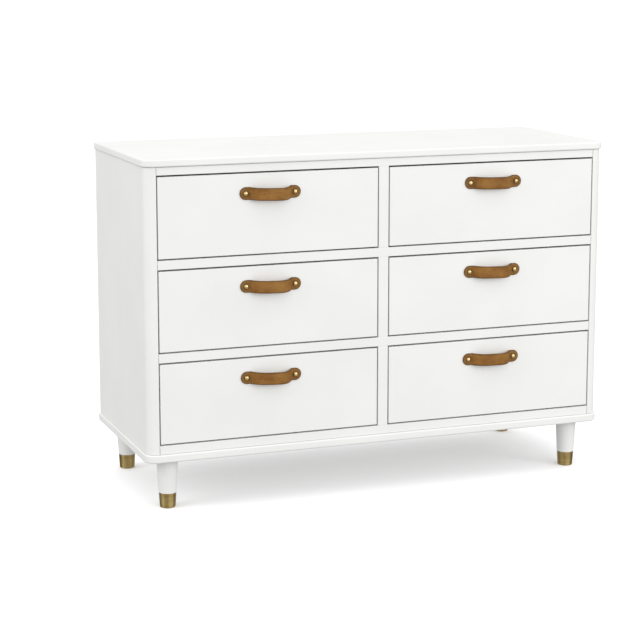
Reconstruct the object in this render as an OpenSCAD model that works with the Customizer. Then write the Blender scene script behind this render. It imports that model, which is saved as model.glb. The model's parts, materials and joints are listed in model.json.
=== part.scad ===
// Double dresser with six inset drawers: three rows, two columns.
// X runs along the width, Y from front to back, Z up. The origin is on the floor, under the middle
// of the box that holds the whole dresser with its pulls.

/* [Overall size] */
// Width across the top board
overall_w = 1231.9; // [1120:0.1:1340]
// Depth from the front of the pulls to the back edge
overall_d = 495.3; // [490:0.1:540]
// Height from the floor to the top face
overall_h = 863.6; // [840:0.1:900]

/* [Case] */
// Thickness of the top board
top_t = 18; // [16:0.5:25]
// Thickness of the base board
base_t = 20; // [16:0.5:25]
// How far the two boards stand out past the case
overhang = 4.8; // [2:0.1:8]
// Radius of the rounded outer corner of each front post
post_r = 26; // [12:1:27]
// Width of each front post
post_w = 29; // [28:0.5:40]
// Width of the centre stiles
stile_w = 26; // [22:0.5:40]
// Height of the top rail
top_rail_h = 20; // [16:0.5:26]
// Height of each divider rail
divider_h = 22.5; // [18:0.5:26]
// Height of the bottom rail
bottom_rail_h = 22; // [16:0.5:26]
// Depth of the posts, rails and stiles
frame_d = 45; // [35:1:45]
// Thickness of the side panels and the centre partition
panel_t = 18; // [15:0.5:18]
// Thickness of the back panel
back_t = 6; // [4:0.5:8]
// Height of the rail across the top of the back
rear_rail_h = 80; // [60:1:100]
// Radius of the pilot holes for a wall strap
pilot_r = 2; // [1.5:0.25:3]
// Distance between those two pilot holes
pilot_gap = 600; // [300:1:900]

/* [Legs] */
// Height of the legs below the base board
leg_h = 126.6; // [110:0.1:140]
// Radius of a leg at its top
leg_top_r = 27; // [23:0.25:28]
// Radius of a leg where its cap begins
leg_cap_r = 21.8; // [20:0.1:22.5]
// Radius of a leg cap at the floor
leg_foot_r = 19.6; // [15:0.1:20]
// Height of a leg cap
cap_h = 38; // [25:0.5:50]
// Distance from the middle of the dresser to the legs, along the width
leg_x = 549; // [480:1:555]
// Distance from the front edge of the base board to the middle of the front legs
leg_front_inset = 59; // [59:1:100]
// Distance from the back edge of the base board to the middle of the rear legs
leg_rear_inset = 31; // [29:1:100]

/* [Drawers] */
// Thickness of a drawer front
front_t = 18; // [16:0.5:20]
// Gap above a drawer front
gap_top = 4.1; // [2:0.1:4.5]
// Gap below a drawer front
gap_bottom = 3.5; // [2:0.1:4.5]
// Gap at each end of a drawer front
gap_side = 3; // [1.5:0.1:3.5]
// Height of a drawer box
box_h = 150; // [130:1:160]
// Depth of a drawer box, front to back
box_d = 415; // [405:1:420]
// Height of a drawer box above the bottom of its opening
box_lift = 18; // [12:1:22]
// Thickness of the boards of a drawer box
box_t = 12; // [12:0.5:15]
// Thickness of a drawer bottom
bottom_t = 5; // [4:0.5:8]

/* [Slides] */
// Length of the slides
slide_l = 400; // [350:1:400]
// Height of the case member of a slide
slide_h = 45.7; // [42:0.1:48]
// Space between the case and the drawer box that a slide fills
slide_w = 12.7; // [12.7:0.1:13.5]

/* [Pulls] */
// Length of a strap, end to end
strap_l = 156; // [150:1:170]
// Width of a strap
strap_w = 31; // [24:0.5:34]
// Thickness of the leather
strap_t = 3.4; // [3:0.1:4]
// How far a strap arches out from the drawer front
pull_reach = 26; // [22:0.5:30]
// Distance between the two screws of a strap
screw_gap = 126; // [122:1:128]
// Distance from the top of a drawer front to the middle of its strap
strap_drop = 47.9; // [40:0.1:60]
// Radius of a domed screw head
dome_r = 6; // [4:0.1:7]

/* [Hidden] */
$fn = 96;

// The rows are counted from the bottom. A side is its name and its direction along X.
ROWS = ["bottom", "middle", "top"];
SIDES = [["left", -1], ["right", 1]];
CASE_NODES = ["top_panel", "base_panel", "left_side_panel", "right_side_panel", "left_post",
    "right_post", "top_rail", "divider_rails", "bottom_rail", "centre_stiles", "centre_partition",
    "back_panel", "rear_rail", "slide_packers", "case_slides", "legs", "leg_caps", "leg_bolts"];
DRAWER_NODES = ["front", "box", "bottom_panel", "strap", "screws", "drawer_slides", "middle_slides"];
function cell_name(row, side, piece) = str(ROWS[row], "_", side[0], "_", piece);

PAINT = "#f2f2ef";
BIRCH = "#dcc08f";
LEATHER = "#94672f";
BRASS = "#b59a5a";
STEEL = "#b9bcbf";

// Places from front to back
front_edge = pull_reach - overhang - overall_d / 2;
back_edge = overall_d / 2;
face_y = front_edge + overhang;
frame_back = face_y + frame_d;
box_y = face_y + front_t;
slide_setback = 3;
slide_y = box_y + slide_setback;

// Places from side to side
half_w = overall_w / 2;
case_x = half_w - overhang;
wall_x = case_x - panel_t;
open_x = case_x - post_w;
open_w = open_x - stile_w / 2;
mid_x = (open_x + stile_w / 2) / 2;
front_w = open_w - 2 * gap_side;
box_w = open_w - 2 * slide_w;

// Places from floor to top
case_z = leg_h + base_t;
top_z = overall_h - top_t;
case_h = top_z - case_z;
open_h = (case_h - top_rail_h - 2 * divider_h - bottom_rail_h) / 3;
front_h = open_h - gap_top - gap_bottom;
rear_rail_z = top_z - rear_rail_h;
function row_z(row) = case_z + bottom_rail_h + row * (open_h + divider_h);
function box_z(row) = row_z(row) + box_lift;
function slide_z(row) = box_z(row) + slide_share * box_h;
function strap_z(row) = row_z(row) + open_h - gap_top - strap_drop;

// Joints between boards. glue is the thickness of a glue line.
glue = 0.1;
tongue_l = 8;
tongue_t = 6;
rabbet_w = 9;
rail_lap = 10;
groove_d = 6;
groove_z = 10;
tails = 4;
tail_root = 17;
tail_tip = 24;

// Boards and legs
board_r = post_r + overhang;
cap_wall = 1.2;
cap_floor = 2;
cap_round = 3.5;
leg_ys = [front_edge + leg_front_inset, back_edge - leg_rear_inset];
bolt_r = 4;
bolt_l = 66;
bolt_in_leg = 40;
tee_barrel_r = 5;
tee_barrel_l = 12;
tee_flange_r = 9;
tee_flange_t = 1.6;
bore_gap = 0.1;

// Slides are three nested channels of sheet steel, each a web with two flanges. Between the flanges
// of one and the next there is room for a row of bearing balls. Their middle stands slide_share of
// the way up the drawer box.
slide_share = 0.45;
sheet_t = 1.2;
outer_ball = 3.3;
inner_ball = 2.3;
case_flange = 9.5;
middle_flange = 7.7;
middle_x = 2.8;
middle_h = slide_h - 2 * (sheet_t + outer_ball);
middle_inset = 5;
drawer_flange = 7;
drawer_member_h = middle_h - 2 * (sheet_t + inner_ball);
packer_h = 60;
packer_l = slide_y + slide_l - frame_back;

// Pulls
strap_foot = 26;
arch_half = strap_l / 2 - strap_foot;
arch_rise = pull_reach - strap_t;
arch_flatness = 3;
arch_softness = 1.2;
arch_steps = 48;
shank_r = 2;
shank_bite = 8;
shank_gap = 0.5;
shank_l = strap_t + front_t + shank_bite;
dome_h = dome_r - 1;
dome_sphere_r = (dome_r * dome_r + dome_h * dome_h) / (2 * dome_h);

// Draws its children on the right for dir 1, and mirrored on the left for dir -1.
module on_side(dir) {
    mirror([dir < 0 ? 1 : 0, 0, 0])
        children();
}

// The outline of the top and base boards: round at the front corners, square at the back.
module board_outline() {
    translate([-half_w, front_edge + board_r])
        square([2 * half_w, back_edge - front_edge - board_r]);
    translate([board_r - half_w, front_edge])
        square([2 * (half_w - board_r), board_r]);
    for (x = [board_r - half_w, half_w - board_r])
        translate([x, front_edge + board_r])
            circle(board_r);
}

module top_panel() {
    color(PAINT)
        translate([0, 0, top_z])
            linear_extrude(top_t)
                board_outline();
}

module at_legs() {
    for (x = [-leg_x, leg_x], y = leg_ys)
        translate([x, y, 0])
            children();
}

module base_panel() {
    color(PAINT)
        difference() {
            translate([0, 0, leg_h])
                linear_extrude(base_t)
                    board_outline();
            at_legs()
                translate([0, 0, leg_h - 1])
                    cylinder(h = base_t + 2, r = tee_barrel_r + bore_gap);
        }
}

// A front post in plan, on the right: a rectangle with a quarter round on its outer corner.
module post_outline() {
    difference() {
        union() {
            translate([open_x, face_y])
                square([post_w - post_r, frame_d]);
            translate([case_x - post_r, face_y + post_r])
                square([post_r, frame_d - post_r]);
            translate([case_x - post_r, face_y + post_r])
                intersection() {
                    circle(post_r);
                    translate([0, -post_r])
                        square(post_r);
                }
        }
        tongue_outline();
    }
}

// The tongue of a side panel, which the groove of the post takes.
module tongue_outline() {
    translate([wall_x + (panel_t - tongue_t) / 2, frame_back - tongue_l])
        square([tongue_t, tongue_l]);
}

module post(dir) {
    color(PAINT)
        on_side(dir)
            translate([0, 0, case_z])
                linear_extrude(case_h)
                    post_outline();
}

module side_panel(dir) {
    color(PAINT)
        on_side(dir)
            difference() {
                translate([0, 0, case_z])
                    linear_extrude(case_h) {
                        translate([wall_x, frame_back])
                            square([panel_t, back_edge - frame_back]);
                        tongue_outline();
                    }
                back_board();
            }
}

module back_board() {
    x = wall_x + rabbet_w;
    translate([-x, back_edge - back_t, case_z])
        cube([2 * x, back_t, rear_rail_z + rail_lap - case_z]);
}

module back_panel() {
    color(PAINT)
        back_board();
}

// The rail across the top of the back, with the pilot holes for a wall strap.
module rear_rail() {
    color(PAINT)
        difference() {
            translate([-wall_x, back_edge - panel_t, rear_rail_z])
                cube([2 * wall_x, panel_t, rear_rail_h]);
            back_board();
            for (x = [-pilot_gap / 2, pilot_gap / 2])
                translate([x, back_edge + 1, rear_rail_z + rear_rail_h / 2])
                    rotate([90, 0, 0])
                        cylinder(h = panel_t + 2, r = pilot_r);
        }
}

module front_rail(z, height) {
    color(PAINT)
        translate([-open_x, face_y, z])
            cube([2 * open_x, frame_d, height]);
}

module top_rail() {
    front_rail(top_z - top_rail_h, top_rail_h);
}

module divider_rails() {
    for (row = [0, 1])
        front_rail(row_z(row) + open_h, divider_h);
}

module bottom_rail() {
    front_rail(case_z, bottom_rail_h);
}

module centre_stiles() {
    color(PAINT)
        for (row = [0:2])
            translate([-stile_w / 2, face_y, row_z(row)])
                cube([stile_w, frame_d, open_h]);
}

module centre_partition() {
    color(BIRCH)
        difference() {
            translate([-panel_t / 2, frame_back, case_z])
                cube([panel_t, back_edge - back_t - frame_back, case_h]);
            translate([-panel_t, back_edge - panel_t, rear_rail_z])
                cube([2 * panel_t, panel_t, rear_rail_h + 1]);
        }
}

// Packing strips fill the space between the side panels or the partition and the slides.
module packer(x, row, thickness) {
    translate([x, frame_back, slide_z(row) - packer_h / 2])
        cube([thickness, packer_l, packer_h]);
}

module slide_packers() {
    color(BIRCH)
        for (row = [0:2], side = SIDES)
            on_side(side[1]) {
                packer(open_x, row, wall_x - open_x);
                packer(panel_t / 2, row, (stile_w - panel_t) / 2);
            }
}

// One member of a slide in cross-section: its web stands at x 0 and its flanges reach to x flange.
module channel(flange, height) {
    difference() {
        translate([0, -height / 2])
            square([flange, height]);
        translate([sheet_t, sheet_t - height / 2])
            square([flange, height - 2 * sheet_t]);
    }
}

// A member at each side of one drawer's opening, x in from it. turned faces the flanges outward.
module slide_pair(row, dir, x, flange, height, inset, turned = false) {
    color(STEEL)
        for (end = [-1, 1])
            translate([dir * mid_x + end * (open_w / 2 - x), slide_y + slide_l - inset, slide_z(row)])
                mirror([(end > 0) != turned ? 1 : 0, 0, 0])
                    rotate([90, 0, 0])
                        linear_extrude(slide_l - 2 * inset)
                            channel(flange, height);
}

module case_slides() {
    for (row = [0:2], side = SIDES)
        slide_pair(row, side[1], 0, case_flange, slide_h, 0);
}

module middle_slides(row, dir) {
    slide_pair(row, dir, middle_x, middle_flange, middle_h, middle_inset);
}

module drawer_slides(row, dir) {
    slide_pair(row, dir, slide_w, drawer_flange, drawer_member_h, 0, turned = true);
}

// The outside radius of a leg cap at height z.
function cap_r(z) = leg_foot_r + (leg_cap_r - leg_foot_r) * z / cap_h;

module legs() {
    tenon_gap = cap_wall + bore_gap;
    color(PAINT)
        at_legs()
            difference() {
                rotate_extrude()
                    polygon([[0, cap_floor], [cap_r(cap_floor) - tenon_gap, cap_floor],
                        [leg_cap_r - tenon_gap, cap_h], [leg_cap_r, cap_h], [leg_top_r, leg_h],
                        [0, leg_h]]);
                translate([0, 0, leg_h - bolt_in_leg])
                    cylinder(h = bolt_in_leg + 1, r = bolt_r + bore_gap);
            }
}

module leg_caps() {
    color(BRASS)
        at_legs()
            rotate_extrude()
                polygon(concat([[0, 0]],
                    [for (a = [-90:15:0])
                        [leg_foot_r - cap_round + cap_round * cos(a), cap_round + cap_round * sin(a)]],
                    [[leg_cap_r, cap_h], [leg_cap_r - cap_wall, cap_h],
                        [cap_r(cap_floor) - cap_wall, cap_floor], [0, cap_floor]]));
}

// A hanger bolt holds each leg, in a tee nut let into the top of the base board.
module leg_bolts() {
    color(STEEL)
        at_legs() {
            translate([0, 0, leg_h - bolt_in_leg])
                cylinder(h = bolt_l, r = bolt_r);
            difference() {
                union() {
                    translate([0, 0, case_z - tee_barrel_l])
                        cylinder(h = tee_barrel_l + tee_flange_t, r = tee_barrel_r);
                    translate([0, 0, case_z])
                        cylinder(h = tee_flange_t, r = tee_flange_r);
                }
                translate([0, 0, case_z - tee_barrel_l - 1])
                    cylinder(h = bolt_l, r = bolt_r + bore_gap);
            }
        }
}

// Runs along the two screws of a strap, through the drawer front and into its box.
module at_screws(row, dir) {
    for (x = [-screw_gap / 2, screw_gap / 2])
        translate([dir * mid_x + x, face_y - strap_t, strap_z(row)])
            rotate([-90, 0, 0])
                children();
}

module screw_holes(row, dir) {
    at_screws(row, dir)
        translate([0, 0, -1])
            cylinder(h = shank_l + 1, r = shank_r + bore_gap);
}

module drawer_front(row, dir) {
    color(PAINT)
        difference() {
            translate([dir * mid_x - front_w / 2, face_y, row_z(row) + gap_bottom])
                cube([front_w, front_t, front_h]);
            screw_holes(row, dir);
        }
}

// The dovetails at one end of a box side, drawn in Y and Z from the shoulder to the end grain.
module tail_outlines(slack) {
    for (i = [0:tails - 1])
        translate([0, (i + 0.5) * box_h / tails])
            polygon([[-slack, -tail_root / 2 - slack], [box_t + slack, -tail_tip / 2 - slack],
                [box_t + slack, tail_tip / 2 + slack], [-slack, tail_root / 2 + slack]]);
}

// Both rows of dovetails of one box side, from the box's front end at y 0.
module box_tails(slack) {
    translate([box_t, 0])
        mirror([1, 0])
            tail_outlines(slack);
    translate([box_d - box_t, 0])
        tail_outlines(slack);
}

module box_side() {
    rotate([90, 0, 90])
        linear_extrude(box_t) {
            translate([box_t + glue, 0])
                square([box_d - 2 * box_t - 2 * glue, box_h]);
            intersection() {
                box_tails(glue);
                square([box_d, box_h]);
            }
        }
}

// A drawer box: two sides with dovetails, an inner front and a back. The drawer bottom is let in.
module drawer_box(row, dir) {
    color(BIRCH)
        difference() {
            translate([dir * mid_x - box_w / 2, box_y, box_z(row)]) {
                box_side();
                translate([box_w - box_t, 0, 0])
                    box_side();
                for (y = [0, box_d - box_t])
                    difference() {
                        translate([0, y, 0])
                            cube([box_w, box_t, box_h]);
                        for (x = [-1, box_w - box_t - glue])
                            translate([x, 0, 0])
                                rotate([90, 0, 90])
                                    linear_extrude(box_t + 1 + glue)
                                        box_tails(2 * glue);
                    }
            }
            bottom_board(row, dir, glue);
            screw_holes(row, dir);
        }
}

// The drawer bottom, or with slack the groove that takes it.
module bottom_board(row, dir, slack) {
    w = box_w - 2 * (box_t - groove_d) + 2 * slack;
    d = box_d - 2 * (box_t - groove_d) + 2 * slack;
    translate([dir * mid_x - w / 2, box_y + (box_d - d) / 2, box_z(row) + groove_z])
        cube([w, d, bottom_t]);
}

module bottom_panel(row, dir) {
    color(BIRCH)
        bottom_board(row, dir, 0);
}

// How far the inner face of a strap stands out, x along from its middle, and the slope there.
function arch(x) =
    arch_rise * pow(1 - pow(min(1, abs(x) / arch_half), arch_flatness), arch_softness);
function arch_slope(x) = (arch(x + 0.1) - arch(x - 0.1)) / 0.2;
function outer_point(x) =
    let (s = arch_slope(x), n = sqrt(1 + s * s))
    [x - strap_t * s / n, arch(x) + strap_t / n];

// A strap seen from above: two flat feet and an arch between them.
module strap_profile() {
    xs = [for (i = [0:arch_steps]) arch_half * (2 * i / arch_steps - 1)];
    polygon(concat(
        [[-strap_l / 2, 0]],
        [for (x = xs) [x, arch(x)]],
        [[strap_l / 2, 0], [strap_l / 2, strap_t]],
        [for (i = [arch_steps:-1:0]) outer_point(xs[i])],
        [[-strap_l / 2, strap_t]]));
}

module strap(row, dir) {
    color(LEATHER)
        difference() {
            translate([dir * mid_x, face_y, strap_z(row)])
                intersection() {
                    translate([0, 0, -strap_w / 2])
                        linear_extrude(strap_w)
                            mirror([0, 1])
                                strap_profile();
                    rotate([90, 0, 0])
                        linear_extrude(pull_reach) {
                            square([strap_l - strap_w, strap_w], center = true);
                            for (x = [strap_w - strap_l, strap_l - strap_w])
                                translate([x / 2, 0])
                                    circle(strap_w / 2);
                        }
                }
            screw_holes(row, dir);
        }
}

module screws(row, dir) {
    color(BRASS)
        at_screws(row, dir) {
            cylinder(h = shank_l - shank_gap, r = shank_r);
            intersection() {
                translate([0, 0, dome_sphere_r - dome_h])
                    sphere(dome_sphere_r);
                translate([0, 0, -dome_h - 1])
                    cylinder(h = dome_h + 1, r = dome_r + 1);
            }
        }
}

top_panel();
base_panel();
side_panel(-1);  // left_side_panel
side_panel(1);  // right_side_panel
post(-1);  // left_post
post(1);  // right_post
top_rail();
divider_rails();
bottom_rail();
centre_stiles();
centre_partition();
back_panel();
rear_rail();
slide_packers();
case_slides();
legs();
leg_caps();
leg_bolts();
for (row = [0:2], side = SIDES) {
    dir = side[1];
    drawer_front(row, dir);
    drawer_box(row, dir);
    bottom_panel(row, dir);
    strap(row, dir);
    screws(row, dir);
    drawer_slides(row, dir);
    middle_slides(row, dir);
}
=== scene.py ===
"""The looks of a white dresser with six drawers: painted boards with eased edges, birch drawer
boxes, arched leather pulls on brass screws, steel slides, and turned legs with brushed brass caps."""
import json
import math
import random

import bmesh
import bpy
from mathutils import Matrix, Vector, noise

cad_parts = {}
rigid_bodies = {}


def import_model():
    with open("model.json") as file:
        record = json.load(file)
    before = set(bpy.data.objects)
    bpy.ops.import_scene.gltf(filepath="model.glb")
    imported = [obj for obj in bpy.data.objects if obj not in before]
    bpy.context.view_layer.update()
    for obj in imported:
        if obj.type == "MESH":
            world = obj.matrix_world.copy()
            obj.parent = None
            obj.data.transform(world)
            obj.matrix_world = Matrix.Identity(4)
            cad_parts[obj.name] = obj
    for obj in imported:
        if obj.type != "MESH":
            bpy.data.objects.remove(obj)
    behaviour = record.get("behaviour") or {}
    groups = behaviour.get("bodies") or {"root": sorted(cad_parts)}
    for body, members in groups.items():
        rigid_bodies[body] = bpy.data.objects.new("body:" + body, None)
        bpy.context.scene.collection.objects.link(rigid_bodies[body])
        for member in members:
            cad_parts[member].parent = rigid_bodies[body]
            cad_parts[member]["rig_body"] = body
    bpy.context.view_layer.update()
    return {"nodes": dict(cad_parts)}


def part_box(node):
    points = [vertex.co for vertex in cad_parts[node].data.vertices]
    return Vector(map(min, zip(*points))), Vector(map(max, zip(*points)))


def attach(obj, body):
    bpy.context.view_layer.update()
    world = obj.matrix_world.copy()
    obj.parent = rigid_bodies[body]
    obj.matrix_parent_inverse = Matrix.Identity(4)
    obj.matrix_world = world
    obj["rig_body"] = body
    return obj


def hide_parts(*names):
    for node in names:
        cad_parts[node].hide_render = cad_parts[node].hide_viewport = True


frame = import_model()

MM = 0.001

# Points this near each other are one point, and points this near a plane lie on it
WELD = 0.001 * MM
TOUCH = 0.05 * MM

# Edges this near a board's outer box count as its rim
RIM = 25 * MM

ROWS = ("top", "middle", "bottom")
SIDES = ("left", "right")

# The turn between two faces above which their edge is rounded, above which it stays sharp, and below
# which the two faces are one flat face
ROUNDED_ANGLE = math.radians(40)
SHARP_ANGLE = math.radians(38)
FLAT_ANGLE = math.radians(1)

# The front plane of the case, and the right edge of its openings
FACE_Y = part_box("top_rail")[0].y
OPEN_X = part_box("top_rail")[1].x


# ---------------------------------------------------------------- camera, light and floor

# The camera's place in metres, its turn and downward tilt in degrees, and its lens in millimetres
CAMERA_AT = (-1.776, -4.461, 1.344)
CAMERA_TURN = -20.76
CAMERA_TILT = 9.58
CAMERA_LENS = 105.4
CAMERA_SHIFT_Y = -0.08
CAMERA_REACH = 100

# Each softbox: its place, what it points at, its width and height, and its power in watts
SOFTBOXES = {
    "front": ((0.7, -5.0, 1.7), (0, 0, 0.5), (3.0, 2.0), 52),
    "front_right": ((3.5, -4.0, 2.0), (0, 0, 0.5), (2.4, 2.4), 58),
    "left": ((-3.8, -0.5, 2.1), (0, 0, 0.6), (2.0, 2.0), 40),
}

# Width and places of the black cards that the brass reflects
FLAG_SIZE = 2.6
FLAGS = {"flag_left": (-2.6, 1.9, 0.4), "flag_right": (3.2, -0.4, 0.4)}

# Half the width of the floor, and how much it glows of its own
FLOOR_REACH = 200
FLOOR_GLOW = 0.19

# Brightness of the studio's white surroundings, below and overhead
NADIR = 0.36
ZENITH = 1.24


def make_camera():
    data = bpy.data.cameras.new("camera")
    data.lens = CAMERA_LENS
    data.shift_y = CAMERA_SHIFT_Y
    data.clip_end = CAMERA_REACH
    camera = bpy.data.objects.new("camera", data)
    camera.location = CAMERA_AT
    camera.rotation_euler = (math.radians(90 - CAMERA_TILT), 0, math.radians(CAMERA_TURN))
    bpy.context.scene.collection.objects.link(camera)
    bpy.context.scene.camera = camera


def make_softbox(name, place, aim, size, power):
    data = bpy.data.lights.new(name, "AREA")
    data.shape = "RECTANGLE"
    data.size, data.size_y = size
    data.energy = power
    light = bpy.data.objects.new(name, data)
    light.location = place
    light.rotation_euler = (Vector(aim) - Vector(place)).to_track_quat("-Z", "Y").to_euler()
    light.visible_camera = False
    bpy.context.scene.collection.objects.link(light)


def make_world():
    """A white studio, bright overhead and darker towards the ground."""
    world = bpy.data.worlds.new("studio")
    world.use_nodes = True
    bpy.context.scene.world = world
    tree = world.node_tree
    place = tree.nodes.new("ShaderNodeTexCoord")
    split = tree.nodes.new("ShaderNodeSeparateXYZ")
    shade = tree.nodes.new("ShaderNodeMapRange")
    shade.inputs["From Min"].default_value = -1.0
    shade.inputs["To Min"].default_value = NADIR
    shade.inputs["To Max"].default_value = ZENITH
    tree.links.new(place.outputs["Generated"], split.inputs[0])
    tree.links.new(split.outputs["Z"], shade.inputs["Value"])
    tree.links.new(shade.outputs[0], tree.nodes["Background"].inputs["Strength"])
    tree.nodes["Background"].inputs["Color"].default_value = (1.0, 1.0, 1.0, 1.0)


def make_studio():
    make_world()
    for name, (place, aim, size, power) in SOFTBOXES.items():
        make_softbox(name, place, aim, size, power)
    bpy.context.scene.view_settings.view_transform = "Standard"


def make_flag(name, place, material):
    """A black card beside the set that only reflections show, to give brass its dark edges."""
    bm = bmesh.new()
    bmesh.ops.create_grid(bm, x_segments=4, y_segments=4, size=FLAG_SIZE / 2)
    flag = bpy.data.objects.new(name, bpy.data.meshes.new(name))
    bm.to_mesh(flag.data)
    bm.free()
    flag.data.materials.append(material)
    flag.location = place
    flag.rotation_euler = Vector((-place[0], -place[1], 0)).to_track_quat("Z", "Y").to_euler()
    for rays in ("camera", "diffuse", "shadow", "transmission", "volume_scatter"):
        setattr(flag, "visible_" + rays, False)
    bpy.context.scene.collection.objects.link(flag)


def make_floor(material):
    """A pale floor, large enough that its far edge stays out of every view from above. It throws no
    light back up, so the pulls cast their soft shadows downwards and the brass stays dark below."""
    bm = bmesh.new()
    bmesh.ops.create_grid(bm, x_segments=24, y_segments=24, size=FLOOR_REACH)
    floor = bpy.data.objects.new("floor", bpy.data.meshes.new("floor"))
    bm.to_mesh(floor.data)
    bm.free()
    floor.data.materials.append(material)
    floor.visible_diffuse = False
    floor.visible_glossy = False
    bpy.context.scene.collection.objects.link(floor)


# ---------------------------------------------------------------- materials


SOCKETS = {"roughness": "Roughness", "metallic": "Metallic", "specular": "Specular IOR Level",
           "glow": "Emission Strength", "anisotropic": "Anisotropic",
           "anisotropic_turn": "Anisotropic Rotation"}


class Finish:
    """A material being made: its Principled shader, and short calls for the nodes that feed it."""

    def __init__(self, name, **sockets):
        self.material = bpy.data.materials.new(name)
        self.material.use_nodes = True
        self.tree = self.material.node_tree
        self.shader = self.tree.nodes["Principled BSDF"]
        for socket, value in sockets.items():
            self.feed(self.shader.inputs[SOCKETS[socket]], value)
        self.place = self.node("TexCoord").outputs["Object"]

    def feed(self, socket, value):
        if isinstance(value, bpy.types.NodeSocket):
            self.tree.links.new(value, socket)
        elif isinstance(value, tuple) and len(value) == 3 and socket.type == "RGBA":
            socket.default_value = (*value, 1.0)
        else:
            socket.default_value = value

    def node(self, kind, inputs=None, **settings):
        made = self.tree.nodes.new("ShaderNode" + kind)
        for name, value in settings.items():
            setattr(made, name, value)
        for name, value in (inputs or {}).items():
            self.feed(made.inputs[name], value)
        return made

    def scaled(self, x, y, z):
        """Object coordinates, multiplied along each axis."""
        return self.node("Mapping", {"Vector": self.place, "Scale": (x, y, z)}).outputs[0]

    def cloud(self, place, scale=1.0, detail=2.0, roughness=0.5, distortion=0.0):
        inputs = {"Vector": place, "Scale": scale, "Detail": detail, "Roughness": roughness,
                  "Distortion": distortion}
        return self.node("TexNoise", inputs).outputs[0]

    def cells(self, place, scale):
        """How far a point is from the edges of a pattern of cells."""
        made = self.node("TexVoronoi", {"Vector": place, "Scale": scale},
                         feature="DISTANCE_TO_EDGE")
        return made.outputs["Distance"]

    def spread(self, value, low, high, to_low=0.0, to_high=1.0):
        inputs = {"Value": value, "From Min": low, "From Max": high, "To Min": to_low, "To Max": to_high}
        return self.node("MapRange", inputs).outputs[0]

    def math(self, kind, a, b=0.0):
        made = self.node("Math", operation=kind)
        self.feed(made.inputs[0], a)
        self.feed(made.inputs[1], b)
        return made.outputs[0]

    def mix(self, amount, first, second):
        """A mix of two colours, at the colour sockets of a Mix node."""
        made = self.node("Mix", data_type="RGBA", blend_type="MIX")
        for index, value in ((0, amount), (6, first), (7, second)):
            self.feed(made.inputs[index], value)
        return made.outputs[2]

    def bump(self, height, distance, strength=1.0):
        """Adds a bump, of a height in metres, on top of the earlier ones."""
        inputs = {"Height": height, "Distance": distance, "Strength": strength}
        made = self.node("Bump", inputs)
        earlier = self.shader.inputs["Normal"].links
        if earlier:
            self.feed(made.inputs["Normal"], earlier[0].from_socket)
        self.feed(self.shader.inputs["Normal"], made.outputs[0])

    def colour(self, value):
        self.feed(self.shader.inputs["Base Color"], value)

    def roughness(self, value):
        self.feed(self.shader.inputs["Roughness"], value)


def white_paint(name, light, dark, gloss=0.42, grain_axis=0):
    """Sprayed satin paint: faint cloudiness, orange peel, and the wood's grain just showing through."""
    paint = Finish(name, specular=0.45)
    along = [26.0, 26.0, 26.0]
    along[grain_axis] = 1.6
    clouds = paint.cloud(paint.scaled(5, 5, 5), detail=3.0)
    grain = paint.cloud(paint.scaled(*along), scale=3.0, detail=5.0, roughness=0.6, distortion=0.4)
    peel = paint.cloud(paint.scaled(420, 420, 420), detail=1.5)
    paint.colour(paint.mix(paint.spread(clouds, 0.35, 0.65), light, dark))
    paint.roughness(paint.spread(grain, 0.3, 0.7, gloss - 0.05, gloss + 0.07))
    paint.bump(grain, 0.05 * MM, 0.5)
    paint.bump(peel, 0.02 * MM, 0.6)
    return paint.material


def bare_wood(name, light, dark, axis, ring_scale=1.0):
    """Pale lacquered birch with its grain along one axis, and darker end grain across it."""
    wood = Finish(name, roughness=0.4, specular=0.4)
    along = [1.0, 1.0, 1.0]
    along[axis] = 0.045
    warp = wood.cloud(wood.scaled(*[9 * a for a in along]), detail=2.0)
    lines = wood.cloud(wood.scaled(*[120 * ring_scale * a for a in along]), detail=6.0,
                       roughness=0.62, distortion=0.6)
    pores = wood.cloud(wood.scaled(*[900 * a for a in along]), detail=2.0)
    flame = wood.math("PINGPONG", wood.math("MULTIPLY_ADD", warp, 7.0), 0.5)
    tone = wood.math("MULTIPLY", wood.math("ADD", lines, flame), 0.62)
    face = wood.mix(wood.spread(tone, 0.3, 0.75), light, dark)
    ends = wood.cloud(wood.scaled(260, 260, 260), detail=4.0)
    end_face = wood.mix(ends, tuple(0.72 * c for c in light), tuple(0.55 * c for c in dark))
    normal = wood.node("SeparateXYZ", {"Vector": wood.node("NewGeometry").outputs["Normal"]})
    across = wood.math("ABSOLUTE", normal.outputs[axis])
    wood.colour(wood.mix(wood.spread(across, 0.8, 0.95), face, end_face))
    wood.roughness(wood.spread(lines, 0.3, 0.7, 0.34, 0.5))
    wood.bump(lines, 0.08 * MM, 0.5)
    wood.bump(pores, 0.05 * MM, 0.5)
    return wood.material


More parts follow.
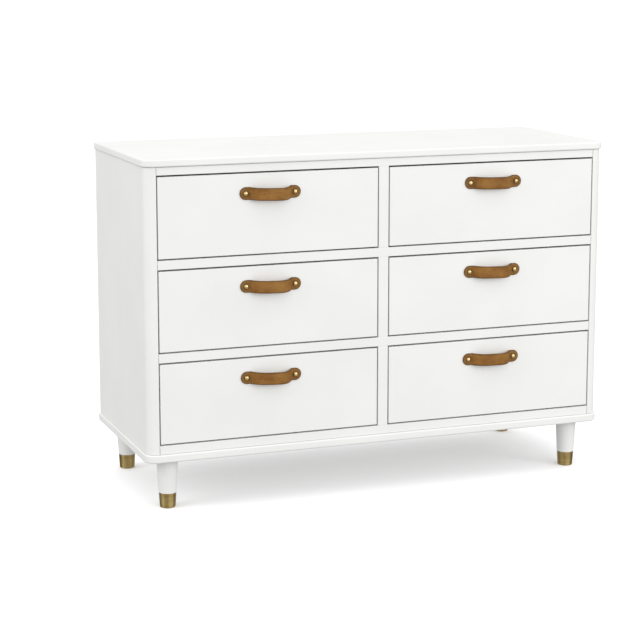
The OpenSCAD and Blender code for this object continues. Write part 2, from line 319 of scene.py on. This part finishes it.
def leather_finish():
    """Waxed tan leather: redder and lighter patches, a fine pebble grain, creases, burnished edges, and
    darker round the screws, partly painted shade.
    """
    hide = Finish("leather", specular=0.22)
    patches = hide.cloud(hide.scaled(26, 26, 34), detail=3.0, roughness=0.6)
    streaks = hide.cloud(hide.scaled(30, 30, 240), detail=3.0, roughness=0.6, distortion=0.3)
    grain = hide.cells(hide.place, 1400)
    fine = hide.cloud(hide.scaled(1800, 1800, 1800), detail=3.0)
    creases = hide.cells(hide.scaled(420, 420, 150), 1.0)
    base = hide.mix(hide.spread(patches, 0.36, 0.64), (0.195, 0.078, 0.012), (0.30, 0.142, 0.029))
    base = hide.mix(hide.spread(streaks, 0.42, 0.75, 0.0, 0.45), base, (0.35, 0.178, 0.042))
    base = hide.mix(hide.spread(grain, 0.0, 0.12, 0.30, 0.0), base, (0.085, 0.032, 0.006))
    burnish_and_shade = hide.node("Attribute", attribute_name="burnish_and_shade").outputs["Fac"]
    # Darker along the burnished edges, and round the screws, where it is partly rubbed and partly
    # painted shade of the heads and arch
    hide.colour(hide.mix(burnish_and_shade, base, (0.080, 0.038, 0.007)))
    hide.roughness(hide.spread(fine, 0.3, 0.7, 0.46, 0.62))
    hide.bump(hide.spread(grain, 0.0, 0.25), 0.12 * MM, 0.5)
    hide.bump(hide.spread(creases, 0.0, 0.1), 0.15 * MM, 0.35)
    hide.bump(fine, 0.03 * MM, 0.5)
    return hide.material


def polished_brass():
    """Brass with a painted highlight where each head faces straight out, and painted shade down its
    sides, darker as they turn away.
    """
    brass = Finish("brass", metallic=1.0)
    marks = brass.cloud(brass.scaled(700, 700, 700), detail=4.0, roughness=0.7)
    tone = brass.cloud(brass.scaled(90, 90, 90), detail=2.0)
    polished = brass.mix(brass.spread(tone, 0.35, 0.65), (0.84, 0.64, 0.33), (0.70, 0.49, 0.21))
    normal = brass.node("SeparateXYZ", {"Vector": brass.node("NewGeometry").outputs["Normal"]})
    # Painted highlight and shade: the brass is brightest where it faces straight out and darkest where
    # it turns to the side
    painted_highlight_mask = brass.spread(brass.math("ABSOLUTE", normal.outputs["Y"]), 0.3, 0.85)
    brass.colour(brass.mix(painted_highlight_mask, (0.17, 0.105, 0.03), polished))
    brass.roughness(brass.spread(marks, 0.35, 0.7, 0.16, 0.3))
    brass.bump(marks, 0.02 * MM, 0.5)
    return brass.material


def brushed_brass():
    """Aged brass, brushed around the leg, with darker patches of tarnish."""
    brass = Finish("leg_brass", metallic=1.0, anisotropic=0.9, anisotropic_turn=0.25)
    lines = brass.cloud(brass.scaled(25, 25, 3200), detail=3.0, roughness=0.7)
    wide_lines = brass.cloud(brass.scaled(12, 12, 500), detail=3.0)
    tarnish = brass.cloud(brass.scaled(60, 60, 40), detail=4.0, roughness=0.6)
    base = brass.mix(brass.spread(tarnish, 0.35, 0.7), (0.47, 0.345, 0.14), (0.31, 0.215, 0.075))
    base = brass.mix(brass.spread(wide_lines, 0.4, 0.7, 0.0, 0.5), base, (0.56, 0.43, 0.20))
    brass.colour(base)
    brass.roughness(brass.spread(lines, 0.3, 0.7, 0.36, 0.5))
    brass.bump(lines, 0.04 * MM, 0.7)
    return brass.material


def zinc_steel(name, tint):
    """Zinc plate on sheet steel, drawn along the slide."""
    steel = Finish(name, metallic=1.0)
    drawn = steel.cloud(steel.scaled(900, 12, 900), detail=3.0, roughness=0.6)
    spangle = steel.cloud(steel.scaled(70, 40, 70), detail=3.0)
    darker = tuple(0.8 * c for c in tint)
    steel.colour(steel.mix(steel.spread(spangle, 0.35, 0.65), tint, darker))
    steel.roughness(steel.spread(drawn, 0.3, 0.7, 0.26, 0.42))
    steel.bump(drawn, 0.02 * MM, 0.5)
    return steel.material


def flag_cloth():
    cloth = Finish("flag_cloth", roughness=1.0, specular=0.0)
    nap = cloth.cloud(cloth.scaled(9, 9, 9))
    cloth.colour(cloth.mix(nap, (0.01, 0.01, 0.01), (0.03, 0.03, 0.03)))
    return cloth.material


def floor_finish():
    floor = Finish("studio_floor", roughness=0.9, specular=0.1, glow=FLOOR_GLOW)
    clouds = floor.cloud(floor.scaled(0.6, 0.6, 0.6), detail=2.0)
    floor.colour(floor.mix(clouds, (0.93, 0.93, 0.935), (0.91, 0.91, 0.915)))
    return floor.material


# ---------------------------------------------------------------- mesh helpers


def add_piece(name, bm, material, body, replaced):
    """Makes an object from a bmesh, smooth apart from its sharp edges, riding on a body."""
    mesh = bpy.data.meshes.new(name)
    bm.normal_update()
    bm.to_mesh(mesh)
    bm.free()
    for each in material if isinstance(material, list) else [material]:
        mesh.materials.append(each)
    mesh.shade_smooth()
    mesh.set_sharp_from_angle(angle=SHARP_ANGLE)
    piece = bpy.data.objects.new(name, mesh)
    bpy.context.scene.collection.objects.link(piece)
    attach(piece, body)
    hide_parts(*replaced)
    return piece


def body_of(node):
    return frame["nodes"][node]["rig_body"]


def welded(node):
    """A CAD node's mesh as a bmesh, with its triangles joined into flat faces."""
    bm = bmesh.new()
    bm.from_mesh(frame["nodes"][node].data)
    bmesh.ops.remove_doubles(bm, verts=bm.verts, dist=WELD)
    bmesh.ops.dissolve_limit(bm, angle_limit=FLAT_ANGLE, verts=bm.verts, edges=bm.edges)
    return bm


def islands(bm):
    """The separate solids of a bmesh, each as a set of faces, in the same order every time."""
    seen, found = set(), []
    for first in bm.faces:
        if first in seen:
            continue
        group, waiting = {first}, [first]
        while waiting:
            for edge in waiting.pop().edges:
                for face in edge.link_faces:
                    if face not in group:
                        group.add(face)
                        waiting.append(face)
        seen |= group
        found.append(group)
    return found


def box_of(points):
    return (Vector([min(p[i] for p in points) for i in range(3)]),
            Vector([max(p[i] for p in points) for i in range(3)]))


def solids(node):
    """The lowest and highest corners of each separate solid in a CAD node, from left to right."""
    bm = welded(node)
    boxes = [box_of([v.co for f in group for v in f.verts]) for group in islands(bm)]
    bm.free()
    return sorted(boxes, key=lambda box: tuple(box[0]))


def ends_and_middle(edge):
    first, second = (vertex.co for vertex in edge.verts)
    return first, second, (first + second) / 2


def draw_in(bm, axis, at_high, gap):
    """Moves the flat end of a board in by the width of a seam."""
    places = [vertex.co[axis] for vertex in bm.verts]
    end = max(places) if at_high else min(places)
    for vertex in bm.verts:
        if abs(vertex.co[axis] - end) < TOUCH:
            vertex.co[axis] += -gap if at_high else gap


def eased(node, radius, wanted, material, steps=3, seams=()):
    """A copy of a board with its sharp edges rounded where they lie on wanted points. Only the rounded
    faces are shaded smooth, so the flat ones stay flat."""
    bm = welded(node)
    for axis, at_high, gap in seams:
        draw_in(bm, axis, at_high, gap)
    low, high = box_of([vertex.co for vertex in bm.verts])
    sharp = [edge for edge in bm.edges
             if edge.is_manifold and edge.calc_face_angle() > ROUNDED_ANGLE
             and all(wanted(point, low, high) for point in ends_and_middle(edge))]
    made = bmesh.ops.bevel(bm, geom=sharp, offset=radius, offset_type="OFFSET", segments=steps,
                           profile=0.5, affect="EDGES", clamp_overlap=True)
    bm.faces.index_update()
    rounded = {face.index for face in made["faces"]}
    piece = add_piece(node + "_eased", bm, material, body_of(node), [node])
    for face in piece.data.polygons:
        face.use_smooth = face.index in rounded
    return piece


def near_rim(axes):
    """Chooses points close to the outer box along either of two axes, and so no screw holes."""
    def wanted(point, low, high):
        return any(point[a] < low[a] + RIM or point[a] > high[a] - RIM for a in axes)
    return wanted


def on_face(point, low, high):
    return point.y < FACE_Y + TOUCH


def on_end(point, low, high):
    return point.z < low.z + TOUCH or point.z > high.z - TOUCH


def on_outer_end(point, low, high):
    """The end edges on a side panel's outer face."""
    return on_end(point, low, high) and abs(point.x) > max(-low.x, high.x) - TOUCH


def on_end_or_opening(point, low, high):
    """A post's ends, and its front edge beside the drawers."""
    beside = on_face(point, low, high) and abs(point.x) < OPEN_X + TOUCH
    return on_end(point, low, high) or beside


def on_top(point, low, high):
    return point.z > high.z - TOUCH


def turned(bm, profile, centre, axis, steps=64):
    """Adds a closed solid of revolution. The profile is (radius, height) from axis to axis."""
    rings = []
    for radius, height in profile:
        count = 1 if radius == 0 else steps
        ring = []
        for i in range(count):
            angle = 2 * math.pi * i / steps
            around, up = (radius * math.cos(angle), radius * math.sin(angle)), height
            offset = {"X": (up, *around), "Y": (around[0], up, around[1]), "Z": (*around, up)}[axis]
            ring.append(bm.verts.new(centre + Vector(offset)))
        rings.append(ring)
    for below, above in zip(rings, rings[1:]):
        for i in range(steps):
            corners = [below[i % len(below)], below[(i + 1) % len(below)],
                       above[(i + 1) % len(above)], above[i % len(above)]]
            corners = list(dict.fromkeys(corners))
            if len(corners) > 2:
                bm.faces.new(corners)


def arc(centre, radius, start, end, steps):
    """Points on an arc in a profile's plane, by angles in degrees."""
    angles = [math.radians(start + (end - start) * i / steps) for i in range(steps + 1)]
    return [(centre[0] + radius * math.cos(a), centre[1] + radius * math.sin(a)) for a in angles]


# ---------------------------------------------------------------- case


# Radii of the rounded edges of the two boards and of the frame's rails
BOARD_EDGE = 3.5 * MM
RAIL_EDGE = 0.8 * MM

# Each seam: the axis a board is shortened along, whether at its high end, and by how much
SEAM = 0.8 * MM
TOP_SEAM = ((2, True, SEAM),)
BASE_SEAM = ((2, False, SEAM / 2),)
END_SEAMS = ((0, False, SEAM), (0, True, SEAM))


def finish_case(paint, paint_upright, back_paint, birch_y, ply, steel):
    for node in ("top_panel", "base_panel"):
        eased(node, BOARD_EDGE, near_rim((0, 1)), paint, steps=5)
    for node, seams in (("top_rail", END_SEAMS + TOP_SEAM), ("divider_rails", END_SEAMS),
                        ("bottom_rail", END_SEAMS + BASE_SEAM)):
        eased(node, RAIL_EDGE, on_face, paint, steps=2, seams=seams)
    for node, wanted, seams in (("centre_stiles", on_face, ()),
                                ("left_post", on_end_or_opening, TOP_SEAM + BASE_SEAM),
                                ("right_post", on_end_or_opening, TOP_SEAM + BASE_SEAM),
                                ("left_side_panel", on_outer_end, TOP_SEAM + BASE_SEAM),
                                ("right_side_panel", on_outer_end, TOP_SEAM + BASE_SEAM)):
        eased(node, RAIL_EDGE, wanted, paint_upright, steps=2, seams=seams)
    for node, material in (("back_panel", back_paint), ("rear_rail", paint), ("legs", paint_upright),
                           ("centre_partition", ply), ("slide_packers", birch_y),
                           ("leg_bolts", steel)):
        dress(node, material)
    slide_members("case_slides", steel, screws=True)


def dress(node, material):
    """Gives a CAD node that keeps its own shape its finish."""
    for slot in frame["nodes"][node].material_slots:
        slot.material = material


# The brass caps: their wall and floor, the round of the foot, the lip, and how much smaller the foot's
# radius is than the lip's
CAP_WALL = 1.2 * MM
CAP_FLOOR = 2.0 * MM
CAP_ROUND = 3.5 * MM
CAP_LIP = 0.35 * MM
CAP_TAPER = 2.2 * MM


def leg_caps(material):
    """Turned caps with a rounded foot and a fine lip, each a piece of its own, so that its brushing
    runs around its own leg."""
    for low, high in solids("leg_caps"):
        bm = bmesh.new()
        top, top_r = high.z, (high.x - low.x) / 2
        foot_r = top_r - CAP_TAPER
        profile = [(0, 0)] + arc((foot_r - CAP_ROUND, CAP_ROUND), CAP_ROUND, -90, 0, 8)
        profile += [(top_r - 0.4 * CAP_LIP, top - 3 * CAP_LIP), (top_r, top - 1.5 * CAP_LIP),
                    (top_r - 0.5 * CAP_LIP, top), (top_r - CAP_WALL, top),
                    (foot_r - CAP_WALL, CAP_FLOOR), (0, CAP_FLOOR)]
        turned(bm, profile, Vector(((low.x + high.x) / 2, (low.y + high.y) / 2, 0)), "Z", 96)
        side, end = "left" if high.x < 0 else "right", "front" if high.y < 0 else "rear"
        add_piece(f"leg_cap_{end}_{side}", bm, material, body_of("leg_caps"), ["leg_caps"])


# ---------------------------------------------------------------- drawers


# Radii of the rounded edges of the drawer fronts, and of the boxes' top rims
FRONT_EDGE = 1.2 * MM
BOX_EDGE = 1.0 * MM


def finish_drawer(cell, paint, birch_x, birch_y, ply, steel):
    eased(cell + "_front", FRONT_EDGE, near_rim((0, 2)), paint, steps=3)
    drawer_box(cell, birch_x, birch_y)
    dress(cell + "_bottom_panel", ply)
    slide_members(cell + "_drawer_slides", steel, screws=True)
    slide_members(cell + "_middle_slides", steel)


def drawer_box(cell, birch_x, birch_y):
    """The box's boards with an eased top rim; the ends' grain runs along X, the sides' along Y."""
    piece = eased(cell + "_box", BOX_EDGE, on_top, [birch_x, birch_y], steps=3)
    bm = bmesh.new()
    bm.from_mesh(piece.data)
    for group in islands(bm):
        low, high = box_of([v.co for f in group for v in f.verts])
        for face in group:
            face.material_index = 1 if high.y - low.y > high.x - low.x else 0
    bm.to_mesh(piece.data)
    bm.free()


# ---------------------------------------------------------------- slides


# The slides' sheet steel, the radii of its corners and lips, and the screw heads that hold it
SHEET = 1.2 * MM
CORNER = 2.4 * MM
LIP = 1.5 * MM
HEAD_R = 3.3 * MM
HEAD_H = 1.2 * MM

# Where the screws sit along each slide, and a head's outline as shares of its radius and height
HEAD_SHARES = (0.08, 0.36, 0.64, 0.92)
HEAD_OUTLINE = ((0, 0), (1, 0), (1, 0.3), (0.85, 0.65), (0.55, 0.92), (0, 1))


def channel_path(depth, height):
    """The middle line of a rolled channel, in depth from its web and height from its middle."""
    face, top, tip = SHEET / 2, height / 2 - SHEET / 2, depth - SHEET / 2 - LIP
    upper = arc((face + CORNER, top - CORNER), CORNER, 180, 90, 6)
    upper += arc((tip, top - LIP), LIP, 90, 20, 6)
    return [(d, -h) for d, h in reversed(upper)] + upper


def roll_channel(bm, low, high, web, inward):
    """Adds one channel that fills a box, with its web at one side and its lips pointing inward."""
    middle = (low.z + high.z) / 2
    path = channel_path(high.x - low.x, high.z - low.z)
    rings = []
    for i, (depth, height) in enumerate(path):
        before, after = path[max(i - 1, 0)], path[min(i + 1, len(path) - 1)]
        along = Vector((after[0] - before[0], after[1] - before[1])).normalized()
        ring = []
        for side in (-SHEET / 2, SHEET / 2):
            x = web + inward * (depth - side * along.y)
            z = middle + height + side * along.x
            ring.append([bm.verts.new((x, y, z)) for y in (low.y, high.y)])
        rings.append(ring)
    for (first, second), (third, fourth) in zip(rings, rings[1:]):
        for a, b, c, d in ((first[0], first[1], third[1], third[0]),
                           (second[0], second[1], fourth[1], fourth[0]),
                           (first[0], second[0], fourth[0], third[0]),
                           (first[1], second[1], fourth[1], third[1])):
            bm.faces.new((a, b, c, d))
    for first, second in (rings[0], rings[-1]):
        bm.faces.new((first[0], first[1], second[1], second[0]))


def slide_members(node, material, screws=False):
    """Rolled steel channels with rounded corners and lips, each in the place of its CAD channel."""
    source, bm = welded(node), bmesh.new()
    for group in islands(source):
        points = [vertex.co for face in group for vertex in face.verts]
        low, high = box_of(points)
        near_low = any(TOUCH < point.x - low.x < 2 * SHEET for point in points)
        web, inward = (low.x, 1) if near_low else (high.x, -1)
        roll_channel(bm, low, high, web, inward)
        if screws:
            head = [(radius * HEAD_R, inward * rise * HEAD_H) for radius, rise in HEAD_OUTLINE]
            for share in HEAD_SHARES:
                y = low.y + share * (high.y - low.y)
                centre = Vector((web + inward * SHEET, y, (low.z + high.z) / 2))
                turned(bm, head, centre, "X", 24)
    source.free()
    bmesh.ops.recalc_face_normals(bm, faces=bm.faces)
    add_piece(node + "_rolled", bm, material, body_of(node), [node])


# ---------------------------------------------------------------- pulls


# The leather strap: its thickness, the length of each flat foot, the radius of its edges, and how much
# the middle of its face stands out
STRAP_THICKNESS = 3.4 * MM
STRAP_FOOT = 26 * MM
STRAP_EDGE = 1.3 * MM
STRAP_CROWN = 0.3 * MM

# The arch: how flat it is along its middle, how softly it meets the feet, how far its top stays below
# the full rise, and the step over which its slope is taken
ARCH_FLATNESS = 4
ARCH_SOFTNESS = 1.2
ARCH_SPARE = 0.6 * MM
SLOPE_STEP = 0.1 * MM

# Ranges of chance: how far the arch hangs, its twist, and the share of its hang that leans right
SAG = (0.8 * MM, 2.6 * MM)
TWIST = (-0.05, 0.05)
LEAN = (0.6, 1.1)

# How fast the arch takes up its hang from each foot
SAG_POWER = 0.7

# The ridge pressed up round a screw's head: its height, then its radius and width in millimetres
PRESS_HEIGHT = 0.35 * MM
PRESS_RADIUS = 8.2
PRESS_WIDTH = 1.7

# Dark leather: the width of the burnished edges, how dark and wide it is round the screws, where it is
# partly rubbed and partly painted shade of the heads and the arch, and the fineness of its patches
BURNISH_WIDTH = 2.3 * MM
SOIL_AND_SHADE_DEPTH = 0.9
SOIL_AND_SHADE_RADIUS = 9.5 * MM
PATCH_SCALE = 160

# Distances in from the strap's outline at which its section has points: the first as shares of the
# rounded edge, the rest in millimetres. Then the steps along each long side and round each end
EDGE_INSETS = (0, 0.08, 0.3, 0.65, 1.0)
FACE_INSETS = (1.7, 3, 5, 7.5, 10.5, 13.2)
STRAIGHT_STEPS = 100
BEND_STEPS = 20

# The pull screws: the height of the rim below the dome, and the radius of the shank
SCREW_RIM = 1.2 * MM
SCREW_SHANK_R = 2 * MM


class Strap:
    """One leather pull: a flat strap with round ends, arched out from the drawer between its screws."""

    def __init__(self, cell, seed):
        self.cell = cell
        self.low, self.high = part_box(cell + "_strap")
        self.middle = (self.low + self.high) / 2
        self.radius = (self.high.z - self.low.z) / 2
        self.half = (self.high.x - self.low.x) / 2
        self.rise = self.high.y - self.low.y - STRAP_THICKNESS
        self.arch_half = self.half - STRAP_FOOT
        self.screws = [(low + high) / 2 - self.middle for low, high in solids(cell + "_screws")]
        luck = random.Random(seed)
        self.sag = luck.uniform(*SAG)
        self.twist = luck.uniform(*TWIST)
        self.lean = -self.sag / self.arch_half * luck.uniform(*LEAN)

    def arch(self, x):
        inside = min(1.0, abs(x) / self.arch_half)
        return self.rise * (1 - inside ** ARCH_FLATNESS) ** ARCH_SOFTNESS

    def place(self, x, z, depth):
        """The place of a point x along and z across the strap, depth out from its inner face."""
        slope = (self.arch(x + SLOPE_STEP) - self.arch(x - SLOPE_STEP)) / (2 * SLOPE_STEP)
        length = math.hypot(1, slope)
        share = self.arch(x) / self.rise
        near = [math.hypot(x - screw.x, z - screw.z) / MM for screw in self.screws]
        press = PRESS_HEIGHT * sum(math.exp(-((r - PRESS_RADIUS) / PRESS_WIDTH) ** 2) for r in near)
        if depth > STRAP_THICKNESS / 2:
            depth += press * (depth / STRAP_THICKNESS - 0.5) * 2
        out = self.arch(x) + depth / length + share * (self.twist * z - ARCH_SPARE)
        along = x - depth * slope / length
        up = z - self.sag * share ** SAG_POWER + share * self.lean * x
        return Vector((self.middle.x + along, self.high.y - out, self.middle.z + up))

    def soiled_and_shaded(self, x, z):
        """How much darker the leather is round the screws: partly rubbed by fingers and brass, partly
        painted shade of the heads and arch.
        """
        near = min(math.hypot(x - screw.x, z - screw.z) for screw in self.screws)
        return SOIL_AND_SHADE_DEPTH * math.exp(-(near / SOIL_AND_SHADE_RADIUS) ** 4)

    def around(self):
        """The strap's middle line with the directions in which its outline lies, once around."""
        half = self.half - self.radius
        line = [half * (2 * i / STRAIGHT_STEPS - 1) for i in range(STRAIGHT_STEPS + 1)]
        bend = [math.pi * i / BEND_STEPS for i in range(1, BEND_STEPS)]
        return ([(x, 0.0, 1.0) for x in line] + [(half, math.sin(a), math.cos(a)) for a in bend]
                + [(x, 0.0, -1.0) for x in reversed(line)]
                + [(-half, -math.sin(a), -math.cos(a)) for a in bend])

    def section(self):
        """Across the strap from its middle, over the outer face, round the edge, along the inner."""
        steps = [STRAP_EDGE * inset for inset in EDGE_INSETS] + [MM * inset for inset in FACE_INSETS]
        steps.append(self.radius)
        half = STRAP_THICKNESS / 2
        outer, inner = [], []
        for inset in steps:
            bow = math.sqrt(1 - (1 - min(1.0, inset / STRAP_EDGE)) ** 2)
            crown = STRAP_CROWN * (1 - inset / self.radius) ** 2
            outer.append((self.radius - inset, half * (1 + bow) - crown * bow, inset))
            inner.append((self.radius - inset, half * (1 - bow), inset))
        return outer[::-1] + inner[1:]

    def make(self, material):
        bm = bmesh.new()
        burnish_and_shade = bm.verts.layers.float.new("burnish_and_shade")
        rings = []
        for base, dir_x, dir_z in self.around():
            ring = []
            for reach, depth, inset in self.section():
                x, z = base + reach * dir_x, reach * dir_z
                vertex = bm.verts.new(self.place(x, z, depth))
                worn = 0.9 + 0.4 * noise.noise(vertex.co * PATCH_SCALE)
                edge = math.exp(-(inset / BURNISH_WIDTH) ** 2)
                # Burnished edges, and round the screws partly rubbed leather and partly painted shade
                vertex[burnish_and_shade] = min(1.0, worn * (edge + self.soiled_and_shaded(x, z)))
                ring.append(vertex)
            rings.append(ring)
        for ring, following in zip(rings, rings[1:] + rings[:1]):
            for i in range(len(ring) - 1):
                bm.faces.new([ring[i], following[i], following[i + 1], ring[i + 1]])
        bmesh.ops.remove_doubles(bm, verts=bm.verts, dist=WELD)
        bmesh.ops.recalc_face_normals(bm, faces=bm.faces)
        name = self.cell + "_strap"
        add_piece(name + "_leather", bm, material, body_of(name), [name])


def strap_screws(cell, material):
    """Domed brass screws with a fine rim, down to the ends of their shanks in the drawer box."""
    node = cell + "_screws"
    bm = bmesh.new()
    for low, high in solids(node):
        head_r = (high.x - low.x) / 2
        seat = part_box(cell + "_front")[0].y - STRAP_THICKNESS
        head_h, end = seat - low.y, high.y - seat
        crown_h = head_h - SCREW_RIM
        crown_r = (head_r ** 2 + crown_h ** 2) / (2 * crown_h)
        spread = math.degrees(math.asin(head_r / crown_r))
        crown = arc((0, head_h - crown_r), crown_r, 90, 90 - spread, 10)
        profile = [(0, -head_h)] + [(r, -h) for r, h in crown[1:]]
        profile += [(head_r, 0), (SCREW_SHANK_R, 0), (SCREW_SHANK_R, end), (0, end)]
        centre = Vector(((low.x + high.x) / 2, seat, (low.z + high.z) / 2))
        turned(bm, profile, centre, "Y", 48)
    bmesh.ops.recalc_face_normals(bm, faces=bm.faces)
    add_piece(node + "_domed", bm, material, body_of(node), [node])


# ---------------------------------------------------------------- the whole dresser


def main():
    make_camera()
    make_studio()
    make_floor(floor_finish())
    black = flag_cloth()
    for name, place in FLAGS.items():
        make_flag(name, place, black)

    white, shade = (0.79, 0.79, 0.772), (0.765, 0.765, 0.748)
    paint = white_paint("painted_wood", white, shade, grain_axis=0)
    paint_upright = white_paint("painted_wood_upright", white, shade, grain_axis=2)
    back_paint = white_paint("back_board", (0.82, 0.82, 0.80), (0.78, 0.78, 0.76), gloss=0.6,
                             grain_axis=2)
    birch_light, birch_dark = (0.70, 0.52, 0.32), (0.52, 0.35, 0.18)
    birch_x = bare_wood("drawer_wood_across", birch_light, birch_dark, 0)
    birch_y = bare_wood("drawer_wood_along", birch_light, birch_dark, 1)
    ply = bare_wood("drawer_ply", (0.74, 0.58, 0.38), (0.60, 0.44, 0.26), 1, ring_scale=0.5)
    steel = zinc_steel("slide_steel", (0.62, 0.63, 0.65))
    leather, brass = leather_finish(), polished_brass()

    finish_case(paint, paint_upright, back_paint, birch_y, ply, steel)
    leg_caps(brushed_brass())
    for row_index, row in enumerate(ROWS):
        for side_index, side in enumerate(SIDES):
            cell = row + "_" + side
            finish_drawer(cell, paint, birch_x, birch_y, ply, steel)
            Strap(cell, 10 * row_index + side_index).make(leather)
            strap_screws(cell, brass)


main()
